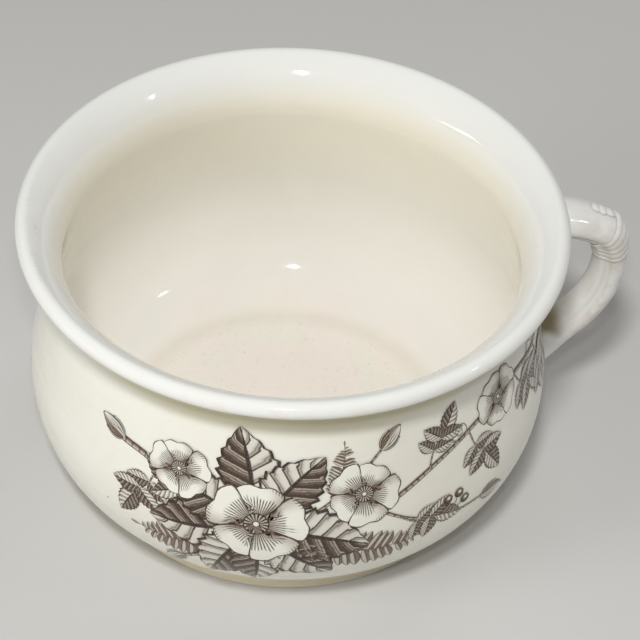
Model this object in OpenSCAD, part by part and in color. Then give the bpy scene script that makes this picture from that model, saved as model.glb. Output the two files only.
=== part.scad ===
// Chamber pot of glazed earthenware. A turned body with a rolled lip and a foot ring carries
// a pressed branch handle, which is luted on with slip, bound at its bend by a collar and dressed
// with a leaf sprig. Millimetres. Z is up from the table, the body turns about Z and the handle
// points along +X.

/* [Body] */
// Outer diameter over the lip
rim_d = 230; // [210:1:246]
// Height from the table to the top of the lip
body_h = 138; // [122:1:165]
// Thickness of the turned wall
wall = 5.5; // [4:0.5:7]
// Widest outside diameter of the belly
belly_d = 224; // [208:1:242]
// Height of the widest part of the belly
belly_z = 55; // [45:1:65]
// Radius of the shoulder's curve above the belly
shoulder_r = 80; // [70:1:90]

/* [Lip and neck] */
// Radius of the rounded edge of the lip
lip_edge_r = 3.75; // [3:0.25:4.5]
// How far the lip stands out over the neck
lip_overhang = 13; // [10:0.5:17]
// Radius of the flare inside, from the throat out to the lip's edge
flare_r = 25; // [21.5:0.5:30]
// Radius of the hollow curve under the lip
neck_cove_r = 12.5; // [9:0.5:15]

/* [Base and foot] */
// Outside diameter of the foot ring
foot_d = 175; // [160:1:190]
// Height of the foot band
foot_h = 9.5; // [6:0.5:12]
// Width of the foot ring
foot_w = 8; // [6:0.5:12]
// Rounding of the foot ring's standing edges
foot_edge_r = 1.2; // [0.5:0.1:2]
// Ledge of the body over the foot band
foot_ledge = 0.4; // [0.2:0.1:1.2]
// Depth of the hollow under the base
foot_recess = 3.5; // [2:0.5:5]
// Thickness of the base inside the foot ring
base_t = 7; // [5:0.5:10]
// Diameter of the flat floor inside
floor_d = 136; // [100:1:145]

/* [Handle] */
// Depth of the handle's start below the top of the lip
handle_drop = 14.5; // [13.5:0.5:18]
// Distance from the lip's edge in to the handle's start
handle_inset = 11; // [8:0.5:14]
// Slope at which the upper arm leaves the body, in degrees
arm_slope = 3; // [0:1:8]
// Radius of the bow of the upper arm
arm_bow_r = 72; // [64:1:82]
// Slope at the end of the upper arm, in degrees
arm_end_slope = 26; // [22:1:30]
// Radius of the sharp bend
bend_r = 13; // [12:0.5:16]
// Slope at the end of the sharp bend, in degrees
bend_end_slope = 72; // [68:1:80]
// Slope at which the lower arm runs into the belly, in degrees
root_slope = 136; // [134:1:146]
// Depth of the lower root below the widest part of the belly
root_drop = 6; // [0:0.5:8]
// Width of the upper arm, across the handle
branch_w = 21.5; // [18:0.5:24]
// Thickness of the upper arm
branch_t = 15.8; // [14:0.2:18]
// Size of the lower arm as a share of the upper arm
lower_share = 0.93; // [0.8:0.01:1]
// Share by which the branch swells where it meets the body
root_swell = 0.14; // [0:0.01:0.2]
// Length over which it swells
root_swell_len = 9; // [5:0.5:12]
// Depth of the grooves that part the under strand from the branch
groove_depth = 1.3; // [0.4:0.1:2]
// Depth of the flutes along the lower arm
flute_depth = 0.1; // [0:0.1:1]

/* [Collar and leaf] */
// Distance along the branch from its start to the collar
collar_at = 32.6; // [31:0.2:35]
// Length of the collar along the branch
collar_len = 13.8; // [10:0.2:16]
// Height of the collar's band over the branch
band_height = 0.3; // [0.2:0.1:0.8]
// Height of the roll at the collar's upper end
upper_roll_height = 0.8; // [0.5:0.1:1.5]
// Length of the roll at the collar's upper end
upper_roll_len = 2.4; // [1.8:0.1:4]
// Height of the roll at the collar's lower end
lower_roll_height = 0.8; // [0.5:0.1:1.5]
// Length of the roll at the collar's lower end
lower_roll_len = 2.2; // [1.6:0.1:4]
// Height of the cord turns between the rolls
turn_height = 0.4; // [0.1:0.1:0.8]
// Cord turns between the rolls
turn_count = 3; // [1:1:4]
// Height of the knots along the collar's back
knot_height = 0.7; // [0.2:0.1:1.2]
// Knots along the collar's back
knot_count = 3; // [1:1:4]
// Length of the leaf sprig along the branch
leaf_len = 10; // [7:0.5:15]
// Width of the leaf sprig over the branch
leaf_w = 9; // [6:0.5:16]
// Height of the leaf sprig over the branch
leaf_height = 1.1; // [0.8:0.1:2]
// Lobes along each side of the leaf sprig
leaf_lobes = 3; // [2:1:6]

/* [Slip joints] */
// Thickness of the slip between the handle and the body
slip_t = 1; // [0.4:0.1:2]
// How far the slip spreads round the handle's ends
slip_spread = 1.6; // [0.8:0.1:3]

/* [Hidden] */
$fn = 192;

glaze_colour = "#efebdf";
slip_colour = "#e4dfd0";

// Points along each curve of the turned profile
curve_steps = 12;
// Points round the branch, and steps along each of its stretches
round_steps = 40;
stretch_steps = 8;
collar_steps = 10;
// Steps of the halving search for where the branch meets the body
search_steps = 26;

rim_r = rim_d / 2;
belly_r = belly_d / 2;
foot_r = foot_d / 2;
floor_z = foot_recess + base_t;
neck_r = rim_r - lip_overhang;

// Curves of the profile

function polar(r, a) = r * [cos(a), sin(a)];
function angle_of(v) = atan2(v.y, v.x);
function arc(c, r, from, to) =
    [for (i = [0:curve_steps]) c + polar(r, from + (to - from) * i / curve_steps)];
function oval_arc(c, rx, ry, from, to) =
    [for (i = [0:curve_steps]) let (a = from + (to - from) * i / curve_steps)
        c + [rx * cos(a), ry * sin(a)]];

// Flare: the inside curve that runs from the throat into the lip's rounded edge
lip_c = [rim_r - lip_edge_r, body_h - lip_edge_r];
flare_x = neck_r - wall + flare_r;
neck_z = lip_c.y - sqrt(pow(flare_r - lip_edge_r, 2) - pow(lip_c.x - flare_x, 2));
flare_c = [flare_x, neck_z];
face_normal = angle_of(lip_c - flare_c);

// The lip's underside runs straight from the neck's cove to the lip's edge
neck_c = [neck_r + neck_cove_r, neck_z];
under_normal = angle_of(lip_c - neck_c) + acos(min(1, (neck_cove_r + lip_edge_r) / norm(lip_c - neck_c)));

// Shoulder: an arc that is upright at the belly, and a straight slope from it to the neck
shoulder_c = [belly_r - shoulder_r, belly_z];
function slope_to(c, r) = angle_of(c - shoulder_c) - acos(min(1, r / norm(c - shoulder_c)));
outer_slope = slope_to(neck_c, shoulder_r + neck_cove_r);
inner_slope = slope_to(flare_c, shoulder_r - wall + flare_r);

// Bowl: the arc that is upright at the belly and ends on the ledge over the foot band
ledge_r = foot_r + foot_ledge;
bowl_in = belly_r - ledge_r;
bowl_drop = belly_z - foot_h;
bowl_r = (pow(bowl_in, 2) + pow(bowl_drop, 2)) / (2 * bowl_in);
bowl_c = [belly_r - bowl_r, belly_z];
bowl_start = angle_of([ledge_r, foot_h] - bowl_c);

outside_wall = concat(
    arc(bowl_c, bowl_r, bowl_start, 0),
    arc(shoulder_c, shoulder_r, 0, outer_slope),
    arc(neck_c, neck_cove_r, 180 + outer_slope, under_normal),
    arc(lip_c, lip_edge_r, under_normal - 180, face_normal));
inside_wall = concat(
    arc(flare_c, flare_r, face_normal, 180 + inner_slope),
    arc(shoulder_c, shoulder_r - wall, inner_slope, 0),
    oval_arc([floor_d / 2, belly_z], belly_r - wall - floor_d / 2, belly_z - floor_z, 0, -90));
foot_ring = concat(
    [[foot_r - foot_w - foot_recess, foot_recess]],
    arc([foot_r - foot_w + foot_edge_r, foot_edge_r], foot_edge_r, 180, 270),
    arc([foot_r - foot_edge_r, foot_edge_r], foot_edge_r, 270, 360),
    [[foot_r, foot_h]]);

// Outside radius of the body at a height
wall_by_height = [for (p = outside_wall) if (p.y < lip_c.y) [p.y, p.x]];
function body_r_at(z) = lookup(z, wall_by_height);

module body() {
    color(glaze_colour)
        rotate_extrude()
            polygon(concat([[0, foot_recess]], foot_ring, outside_wall, inside_wall, [[0, floor_z]]));
}

// Centre line of the handle, by the distance along it from its start

function along(slope) = [cos(slope), -sin(slope)];
function bow(slope_a, slope_b) = [sin(slope_b) - sin(slope_a), cos(slope_b) - cos(slope_a)];
function cross2(a, b) = a.x * b.y - a.y * b.x;

handle_start = [rim_r - handle_inset, body_h - handle_drop];
arm_end = handle_start + arm_bow_r * bow(arm_slope, arm_end_slope);
bend_end = arm_end + bend_r * bow(arm_end_slope, bend_end_slope);

// The sweep takes the radius that lets the lower arm run straight to its root on the belly
root_z = belly_z - root_drop;
root_at = [body_r_at(root_z), root_z];
sweep_bow = bow(bend_end_slope, root_slope);
sweep_r = cross2(root_at - bend_end, along(root_slope)) / cross2(sweep_bow, along(root_slope));
sweep_end = bend_end + sweep_r * sweep_bow;

arm_len = arm_bow_r * (arm_end_slope - arm_slope) * PI / 180;
bend_from = arm_len;
sweep_from = bend_from + bend_r * (bend_end_slope - arm_end_slope) * PI / 180;
tail_from = sweep_from + sweep_r * (root_slope - bend_end_slope) * PI / 180;

function slope_after(slope, r, run) = slope + run / r * 180 / PI;
function slope_at(s) =
    s < 0 ? arm_slope
    : s < bend_from ? slope_after(arm_slope, arm_bow_r, s)
    : s < sweep_from ? slope_after(arm_end_slope, bend_r, s - bend_from)
    : s < tail_from ? slope_after(bend_end_slope, sweep_r, s - sweep_from)
    : root_slope;
function centre_at(s) =
    s < 0 ? handle_start + s * along(arm_slope)
    : s < bend_from ? handle_start + arm_bow_r * bow(arm_slope, slope_at(s))
    : s < sweep_from ? arm_end + bend_r * bow(arm_end_slope, slope_at(s))
    : s < tail_from ? bend_end + sweep_r * bow(bend_end_slope, slope_at(s))
    : sweep_end + (s - tail_from) * along(root_slope);

// The branch's skin: a point at a distance along it, an angle round it from its crest, a share
// of its section and a height above it

groove_angle = 118;
groove_spread = 15;
flute_angle = 64;
flute_spread = 12;
collar_end = collar_at + collar_len;
function bump(x) = exp(-x * x);
function ease(x) = let (t = min(1, max(0, x))) t * t * (3 - 2 * t);
function oval_r(a, rx, ry) = 1 / norm([cos(a) / rx, sin(a) / ry]);
function below_collar(s) = ease((s - collar_at - upper_roll_len) / (collar_len - upper_roll_len));
function size_at(s) =
    (1 + root_swell * (bump((s - upper_root) / root_swell_len) + bump((lower_root - s) / root_swell_len)))
    * (1 - (1 - lower_share) * below_collar(s));
function section_r(s, a) =
    size_at(s) * oval_r(a, branch_t / 2, branch_w / 2)
    - groove_depth * bump((abs(a) - groove_angle) / groove_spread)
    - flute_depth * bump((abs(a) - flute_angle) / flute_spread) * below_collar(s);
function skin(s, a, share = 1, height = 0) =
    let (c = centre_at(s), slope = slope_at(s), r = section_r(s, a) * share + height)
        [c.x + r * cos(a) * sin(slope), r * sin(a), c.y + r * cos(a) * cos(slope)];

// Where the branch meets the body, or a layer over the body

function outside_body(p, layer) = norm([p.x, p.y]) > body_r_at(p.z) + layer;
function halve(a, share, height, layer, inside, outside, steps) =
    steps == 0 ? (inside + outside) / 2
    : let (middle = (inside + outside) / 2)
        outside_body(skin(middle, a, share, height), layer)
            ? halve(a, share, height, layer, inside, middle, steps - 1)
            : halve(a, share, height, layer, middle, outside, steps - 1);

// Places on the branch that are clear of the body, and how far in from them the search goes
upper_clear = handle_inset + branch_t / 2;
lower_clear = sweep_from + (tail_from - sweep_from) * 0.6;
search_in = 60;

// The roots on the centre line itself, which the swelling needs before the skin is known
function centre_halve(inside, outside, steps) =
    steps == 0 ? (inside + outside) / 2
    : let (middle = (inside + outside) / 2, c = centre_at(middle))
        c.x > body_r_at(c.y) ? centre_halve(inside, middle, steps - 1)
        : centre_halve(middle, outside, steps - 1);
upper_root = centre_halve(-search_in, upper_clear, search_steps);
lower_root = centre_halve(lower_clear + search_in, lower_clear, search_steps);

function upper_meet(a, share = 1, height = 0, layer = 0) =
    halve(a, share, height, layer, -search_in, upper_clear, search_steps);
function lower_meet(a, share = 1, height = 0, layer = 0) =
    halve(a, share, height, layer, lower_clear + search_in, lower_clear, search_steps);

round_angles = [for (i = [0:round_steps - 1]) -180 + 360 * i / round_steps];
function ring(s) = [for (a = round_angles) skin(s, a)];

// A closed solid through rings of equal count, each end closed by a fan to its middle point
module skinned(rings, start, end) {
    n = len(rings[0]);
    last = (len(rings) - 1) * n;
    points = concat([for (r = rings) each r], [start, end]);
    sides = [for (i = [0:len(rings) - 2], j = [0:n - 1])
        let (a = i * n + j, b = i * n + (j + 1) % n)
            each [[a, b, b + n], [a, b + n, a + n]]];
    start_fan = [for (j = [0:n - 1]) [(j + 1) % n, j, last + n]];
    end_fan = [for (j = [0:n - 1]) [last + j, last + (j + 1) % n, last + n + 1]];
    polyhedron(points, concat(sides, start_fan, end_fan));
}

// A closed solid whose rings return on themselves, such as a collar
module collar(rings) {
    n = len(rings[0]);
    count = len(rings);
    polyhedron([for (r = rings) each r],
        [for (i = [0:count - 1], j = [0:n - 1])
            let (a = i * n + j, b = i * n + (j + 1) % n, c = (i + 1) % count * n)
                each [[a, b, c + (j + 1) % n], [a, c + (j + 1) % n, c + j]]]);
}

function spread(from, to, steps) = [for (i = [0:steps]) from + (to - from) * i / steps];

// The handle ends on the slip, so each end is a cap of rings that lie on it
cap_shares = [0.35, 0.7, 1];
root_steps = 4;
tail_steps = 14;
branch_stations = concat(
    spread(upper_clear, collar_at, stretch_steps),
    spread(collar_at, collar_end, collar_steps),
    spread(collar_end, lower_clear, stretch_steps));

function from_root(meet_at, clear, steps) =
    [for (i = [0:steps - 1])
        [for (k = [0:round_steps - 1])
            let (s = meet_at[k] + (clear - meet_at[k]) * i / steps) skin(s, round_angles[k])]];
function reversed(list) = [for (i = [len(list) - 1:-1:0]) list[i]];
function distinct(list) = [for (i = [0:len(list) - 1]) if (i == 0 || list[i] != list[i - 1]) list[i]];

module handle() {
    upper_edge = [for (a = round_angles) upper_meet(a, layer = slip_t)];
    lower_edge = [for (a = round_angles) lower_meet(a, layer = slip_t)];
    upper_cap = [for (share = [cap_shares[0], cap_shares[1]])
        [for (a = round_angles) skin(upper_meet(a, share, 0, slip_t), a, share)]];
    lower_cap = [for (share = [cap_shares[1], cap_shares[0]])
        [for (a = round_angles) skin(lower_meet(a, share, 0, slip_t), a, share)]];
    color(glaze_colour)
        skinned(
            concat(
                upper_cap,
                from_root(upper_edge, upper_clear, root_steps),
                [for (s = distinct(branch_stations)) ring(s)],
                reversed(from_root(lower_edge, lower_clear, tail_steps)),
                lower_cap),
            skin(upper_meet(0, 0, 0, slip_t), 0, 0),
            skin(lower_meet(0, 0, 0, slip_t), 0, 0));
}

// The collar: cord turns between two rolls, with knots along the back, standing on the branch
collar_edge = 0.2;
roll_steps = 28;
turns_len = collar_len - upper_roll_len - lower_roll_len;
knot_spread = 30;
function roll(x, len) = sqrt(max(0, 1 - pow(2 * x / len, 2)));
function turn_rise(x) = x < 0 || x > turns_len ? 0 : turn_height * abs(sin(180 * turn_count * x / turns_len));
function collar_rise(x, a) =
    max(
        x == 0 || x == collar_len ? collar_edge : band_height + turn_rise(x - upper_roll_len),
        upper_roll_height * roll(x - upper_roll_len / 2, upper_roll_len),
        lower_roll_height * roll(collar_len - lower_roll_len / 2 - x, lower_roll_len))
    + knot_height * bump(a / knot_spread) * abs(sin(180 * knot_count * x / collar_len));

module handle_collar() {
    outer = [for (x = spread(0, collar_len, roll_steps))
        [for (a = round_angles) skin(collar_at + x, a, 1, collar_rise(x, a))]];
    inner = [for (s = spread(collar_at, collar_end, collar_steps)) ring(s)];
    color(glaze_colour)
        collar(concat(outer, reversed(inner)));
}

// A lobed leaf on the crest of the upper arm, its tip tucked against the collar
leaf_gap = 0.3;
leaf_edge = 0.25;
leaf_along = 40;
leaf_across = 16;
leaf_end = collar_at - leaf_gap;
function lobe(u) = abs(sin(180 * leaf_lobes * u));
function leaf_half_w(u) = leaf_w / 2 * pow(sin(25 + 130 * u), 0.7) * (0.72 + 0.28 * lobe(u));
function leaf_rise(u, v) =
    leaf_edge + (leaf_height - leaf_edge) * sqrt(max(0, 1 - v * v)) * (0.6 + 0.4 * lobe(u))
    * min(1, 6 * u + 0.15, 6 * (1 - u) + 0.15);

module handle_leaf() {
    over = [for (i = [0:leaf_along]) [for (k = [0:leaf_across])
        let (u = i / leaf_along, v = 2 * k / leaf_across - 1, s = leaf_end - leaf_len * (1 - u),
            a = v * leaf_half_w(u) / (branch_w / 2) * 180 / PI)
            skin(s, a, 1, leaf_rise(u, v))]];
    under = [for (i = [0:leaf_along]) [for (k = [leaf_across:-1:0])
        let (u = i / leaf_along, v = 2 * k / leaf_across - 1, s = leaf_end - leaf_len * (1 - u),
            a = v * leaf_half_w(u) / (branch_w / 2) * 180 / PI)
            skin(s, a)]];
    rings = [for (i = [0:leaf_along]) concat(over[i], under[i])];
    middle = leaf_across / 2;
    color(glaze_colour)
        skinned(rings,
            (over[0][middle] + under[0][middle]) / 2,
            (over[leaf_along][middle] + under[leaf_along][middle]) / 2);
}

// The slip: a pad between the handle's end and the body, which thins out round the handle
spread_steps = 4;
slip_edge = 0.2;
// Clearance under the slip, so that its facets never cut into the round wall
slip_bed = 0.1;
function slip_layer(t) = slip_edge + (slip_t - slip_edge) * sqrt(max(0, 1 - t * t));

module slip_joint(lower) {
    function meet(a, share, height, layer) =
        lower ? lower_meet(a, share, height, layer) : upper_meet(a, share, height, layer);
    function point(a, share, height, layer) = skin(meet(a, share, height, layer), a, share, height);
    function pad(share, height, layer) = [for (a = round_angles) point(a, share, height, layer)];
    outer = concat(
        [for (share = cap_shares) pad(share, 0, slip_t)],
        [for (i = [1:spread_steps]) pad(1, slip_spread * i / spread_steps, slip_layer(i / spread_steps))]);
    inner = concat(
        [for (i = [spread_steps:-1:1]) pad(1, slip_spread * i / spread_steps, slip_bed)],
        [for (share = reversed(cap_shares)) pad(share, 0, slip_bed)]);
    rings = concat(outer, inner);
    color(slip_colour)
        skinned(lower ? rings : reversed(rings),
            point(0, 0, 0, lower ? slip_t : slip_bed),
            point(0, 0, 0, lower ? slip_bed : slip_t));
}
module upper_slip_joint() { slip_joint(false); }
module lower_slip_joint() { slip_joint(true); }

body();
handle();
handle_collar();
handle_leaf();
upper_slip_joint();
lower_slip_joint();
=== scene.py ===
import math

import bmesh
import bpy
import numpy as np
from mathutils import Matrix, Vector
from mathutils.kdtree import KDTree


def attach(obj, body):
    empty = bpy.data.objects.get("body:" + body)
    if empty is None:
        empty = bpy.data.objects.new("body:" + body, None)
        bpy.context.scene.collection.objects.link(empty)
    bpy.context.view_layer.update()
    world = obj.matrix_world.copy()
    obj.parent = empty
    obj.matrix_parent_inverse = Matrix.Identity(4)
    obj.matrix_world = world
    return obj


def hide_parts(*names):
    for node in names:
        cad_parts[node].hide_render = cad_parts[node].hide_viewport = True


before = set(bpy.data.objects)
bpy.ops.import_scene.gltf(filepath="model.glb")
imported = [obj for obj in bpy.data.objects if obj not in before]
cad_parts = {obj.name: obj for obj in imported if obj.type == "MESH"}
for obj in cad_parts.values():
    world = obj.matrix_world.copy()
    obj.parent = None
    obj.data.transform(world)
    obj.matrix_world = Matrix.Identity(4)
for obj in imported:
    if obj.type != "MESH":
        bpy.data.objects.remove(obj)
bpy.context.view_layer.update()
scene = bpy.context.scene
mm = 0.001


def setMode(mode):
    bpy.ops.object.mode_set(mode=mode)


def deselectAll():
    if bpy.context.object and bpy.context.object.mode != "OBJECT":
        setMode("OBJECT")
    bpy.ops.object.select_all(action="DESELECT")


def makeActive(piece):
    deselectAll()
    piece.select_set(True)
    bpy.context.view_layer.objects.active = piece


def vertexSpots(mesh, field="co"):  # three numbers for each vertex
    spots = np.empty(len(mesh.vertices) * 3)
    mesh.vertices.foreach_get(field, spots)
    return spots.reshape(-1, 3)


def markVertices(mesh, name, values):  # a number on each vertex, for a material to read
    mark = mesh.attributes.new(name, "FLOAT", "POINT")
    mark.data.foreach_set("value", values.astype(np.float32))


def tint(red, green, blue):  # a colour as seen on screen, 0 to 255, made linear
    seen = (red / 255, green / 255, blue / 255)
    return tuple(c / 12.92 if c <= 0.04045 else ((c + 0.055) / 1.055) ** 2.4 for c in seen) + (1.0,)


def uneven(value, share):  # a share that follows a noise: its least, and what the noise adds
    return share[0] + value * share[1]


class Val:  # a number socket that takes part in sums
    def __init__(self, finish, socket):
        self.finish = finish
        self.socket = socket

    def sums(self, operation, *terms):
        return self.finish.number("ShaderNodeMath", {"operation": operation}, dict(enumerate(terms)))

    def __add__(self, other): return self.sums("ADD", self, other)
    def __radd__(self, other): return self.sums("ADD", other, self)
    def __sub__(self, other): return self.sums("SUBTRACT", self, other)
    def __rsub__(self, other): return self.sums("SUBTRACT", other, self)
    def __mul__(self, other): return self.sums("MULTIPLY", self, other)
    def __rmul__(self, other): return self.sums("MULTIPLY", other, self)
    def __pow__(self, other): return self.sums("POWER", self, other)
    def __abs__(self): return self.sums("ABSOLUTE", self)

    def fract(self): return self.sums("FRACT", self)
    def most(self, other): return self.sums("MAXIMUM", self, other)
    def least(self, other): return self.sums("MINIMUM", self, other)


class Finish:  # one material and the nodes in it
    def __init__(self, name):
        self.material = bpy.data.materials.new(name)
        self.material.use_nodes = True
        self.tree = self.material.node_tree
        self.tree.nodes.clear()

    def add(self, kind, settings=None, sockets=None):
        node = self.tree.nodes.new(kind)
        for key, value in (settings or {}).items():
            setattr(node, key, value)
        for key, value in (sockets or {}).items():
            value = value.socket if isinstance(value, Val) else value
            if isinstance(value, bpy.types.NodeSocket):
                self.tree.links.new(value, node.inputs[key])
            else:
                node.inputs[key].default_value = value
        return node

    def number(self, kind, settings=None, sockets=None, out=0):
        return Val(self, self.add(kind, settings, sockets).outputs[out])

    def blend(self, under, over, share):  # colours only
        settings = {"data_type": "RGBA", "clamp_factor": True}
        return self.add("ShaderNodeMix", settings, {0: share, 6: under, 7: over}).outputs[2]

    def rise(self, value, low, high):  # 0 below low, 1 above high, smooth between
        sockets = {"Value": value, "From Min": low, "From Max": high}
        return self.number("ShaderNodeMapRange", {"interpolation_type": "SMOOTHSTEP"}, sockets)

    def band(self, value, low, high, soft):  # 1 between low and high
        start = self.rise(value, low - soft, low + soft)
        return start * (1 - self.rise(value, high - soft, high + soft))

    def line(self, phase, half, soft):  # a line wherever phase passes a whole number
        near = phase.fract()
        near = near.least(1 - near)
        return 1 - self.rise(near, half, half + soft)

    def noise(self, where, scale, detail=2.0, roughness=0.5):
        sockets = {"Vector": where, "Scale": scale, "Detail": detail, "Roughness": roughness}
        return self.number("ShaderNodeTexNoise", {}, sockets)

    def here(self):
        return self.add("ShaderNodeTexCoord").outputs["Object"]

    def split(self, vector):
        node = self.add("ShaderNodeSeparateXYZ", {}, {0: vector})
        return [Val(self, node.outputs[i]) for i in range(3)]

    def combine(self, x, y):
        return self.add("ShaderNodeCombineXYZ", {}, {0: x, 1: y}).outputs[0]

    def attribute(self, name):
        return self.number("ShaderNodeAttribute", {"attribute_name": name}, {}, 2)

    def close(self, colour, roughness, height, depth, ior=1.5):
        bump = self.add("ShaderNodeBump", {}, {"Strength": 1.0, "Distance": depth, "Height": height})
        shader = self.add("ShaderNodeBsdfPrincipled", {}, {
            "Base Color": colour, "Roughness": roughness, "Normal": bump.outputs[0], "IOR": ior})
        self.add("ShaderNodeOutputMaterial", {}, {"Surface": shader.outputs[0]})
        return self.material


# Glaze that the whole pot shares

glaze = dict(
    ivory=tint(240, 238, 226), cream=tint(234, 230, 213),
    cloudScale=13.0, cloudDetail=3, cloudSpan=(0.42, 0.72), cloudShare=0.55,
    mottleScale=95.0, mottleDetail=4, mottleGrit=0.6, mottleSpan=(0.45, 0.75), mottleShare=0.18,
    # painted shadow of the lip with pooled glaze: a darker olive round the neck
    poolAndShade=tint(198, 189, 146), poolAndShadeShare=0.8, poolAndShadeCloud=(0.75, 0.5),
    poolAndShadeBand=(0.113, 0.128, 0.005),  # round the neck: from, to and softness in metres
    speck=tint(104, 82, 52), speckScale=150.0, speckShare=0.7,
    speckPick=(0.982, 0.986), speckSize=(0.05, 0.1),  # the few cells that hold one, and its edge
    craze=tint(176, 162, 132), crazeScale=105.0, crazeLine=(0.008, 0.022), crazeShare=0.05,
    swayScale=60.0, sway=0.008, patchScale=22.0, patchSpan=(0.52, 0.7),
    roughness=0.05, mottleRough=0.05, crazeRough=0.1,
    rippleScale=30.0, fineScale=170.0, fineHeight=0.06, crazeHeight=0.02, rippleDepth=0.0005,
)


def glazeGround(f):
    # clouds, mottle, fine cracks, roughness and ripple of a glaze
    s = glaze
    where = f.here()
    cloud = f.noise(where, s["cloudScale"], s["cloudDetail"])
    mottle = f.noise(where, s["mottleScale"], s["mottleDetail"], s["mottleGrit"])
    drift = f.add("ShaderNodeTexNoise", {}, {"Vector": where, "Scale": s["swayScale"]}).outputs[1]
    drift = f.add("ShaderNodeVectorMath", {"operation": "SCALE"}, {0: drift, "Scale": s["sway"]}).outputs[0]
    swayed = f.add("ShaderNodeVectorMath", {"operation": "ADD"}, {0: where, 1: drift}).outputs[0]
    crack = f.number("ShaderNodeTexVoronoi", {"feature": "DISTANCE_TO_EDGE"}, {
        "Vector": swayed, "Scale": s["crazeScale"]})
    patch = f.rise(f.noise(where, s["patchScale"]), *s["patchSpan"])
    craze = (1 - f.rise(crack, *s["crazeLine"])) * patch
    roughness = s["roughness"] + mottle * s["mottleRough"] + craze * s["crazeRough"]
    fine = f.noise(where, s["fineScale"]) * s["fineHeight"]
    height = f.noise(where, s["rippleScale"]) + fine - craze * s["crazeHeight"]
    return dict(where=where, cloud=cloud, mottle=mottle, craze=craze, roughness=roughness, height=height)


def clouded(f, ground, s):  # how far the second colour of a glaze shows
    clouds = f.rise(ground["cloud"], *s["cloudSpan"]) * s["cloudShare"]
    return clouds + f.rise(ground["mottle"], *s["mottleSpan"]) * s["mottleShare"]


def ivoryColour(f, ground, outside=1.0):
    s = glaze
    z = f.split(ground["where"])[2]
    colour = f.blend(s["ivory"], s["cream"], clouded(f, ground, s))
    # painted shadow of the lip with pooled glaze, in a band round the neck outside
    poolAndShade = f.band(z, *s["poolAndShadeBand"]) * uneven(ground["cloud"], s["poolAndShadeCloud"]) * outside
    colour = f.blend(colour, s["poolAndShade"], poolAndShade * s["poolAndShadeShare"])
    cells = f.add("ShaderNodeTexVoronoi", {"feature": "F1"}, {
        "Vector": ground["where"], "Scale": s["speckScale"]}).outputs
    speck = f.rise(f.split(cells["Color"])[0], *s["speckPick"])
    speck = speck * (1 - f.rise(Val(f, cells["Distance"]), *s["speckSize"]))
    colour = f.blend(colour, s["speck"], speck * s["speckShare"])
    return f.blend(colour, s["craze"], ground["craze"] * s["crazeShare"])


# Body: a turned bowl, spun from the same arcs as the CAD profile

potBody = dict(
    lipRadius=115.0, height=138.0, wall=5.5, bellyRadius=112.0, bellyHeight=55.0, shoulderRadius=80.0,
    lipEdge=3.75, lipOverhang=13.0, flareRadius=25.0, neckCove=12.5,
    footRadius=87.5, footHeight=9.5, footWidth=8.0, footEdge=1.2, footLedge=0.4,
    footRecess=3.5, baseThick=7.0, floorRadius=68.0,
    footRow=0.6, ledgeBevel=0.25, ledgeStep=0.15,  # rows that hold the foot's face and its ledge
    recessPoints=14, floorPoints=20, spinSteps=256,
    steps=dict(footEdge=5, bowl=26, shoulder=12, slope=16, neck=26, lip=22, throat=32, wall=12, heel=28),
    seedSize=0.01, mergeGap=0.00002, smoothAngle=50.0,
)


def arcPoints(centre, radius, start, end, steps, upright=None):
    angles = np.radians(np.linspace(start, end, steps + 1))
    tall = radius if upright is None else upright
    return [(centre[0] + radius * math.cos(a), centre[1] + tall * math.sin(a)) for a in angles]


def bearing(a, b):
    return math.degrees(math.atan2(b[1] - a[1], b[0] - a[0]))


def touching(a, b, radius, hand):  # bearing of the line that touches a circle at each end
    return bearing(a, b) + hand * math.degrees(math.acos(radius / math.dist(a, b)))


def bodyCurves(p):
    c = {}
    neck = p["lipRadius"] - p["lipOverhang"]
    c["lip"] = (p["lipRadius"] - p["lipEdge"], p["height"] - p["lipEdge"])
    flareX = neck - p["wall"] + p["flareRadius"]
    reach = p["flareRadius"] - p["lipEdge"]
    neckZ = c["lip"][1] - math.sqrt(reach ** 2 - (c["lip"][0] - flareX) ** 2)
    c["flare"] = (flareX, neckZ)
    c["face"] = bearing(c["flare"], c["lip"])
    c["neck"] = (neck + p["neckCove"], neckZ)
    c["under"] = touching(c["neck"], c["lip"], p["neckCove"] + p["lipEdge"], 1)
    c["shoulder"] = (p["bellyRadius"] - p["shoulderRadius"], p["bellyHeight"])
    c["turn"] = touching(c["shoulder"], c["neck"], p["shoulderRadius"] + p["neckCove"], -1)
    innerReach = p["shoulderRadius"] - p["wall"] + p["flareRadius"]
    c["innerTurn"] = touching(c["shoulder"], c["flare"], innerReach, -1)
    c["ledge"] = (p["footRadius"] + p["footLedge"], p["footHeight"])
    drop = p["bellyHeight"] - p["footHeight"]
    inward = p["bellyRadius"] - c["ledge"][0]
    c["bowlR"] = (inward ** 2 + drop ** 2) / (2 * inward)
    c["bowl"] = (p["bellyRadius"] - c["bowlR"], p["bellyHeight"])
    return c


def between(a, b, steps):  # points inside a straight stretch
    across, rise = b[0] - a[0], b[1] - a[1]
    return [(a[0] + across * k / steps, a[1] + rise * k / steps) for k in range(1, steps)]


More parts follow.
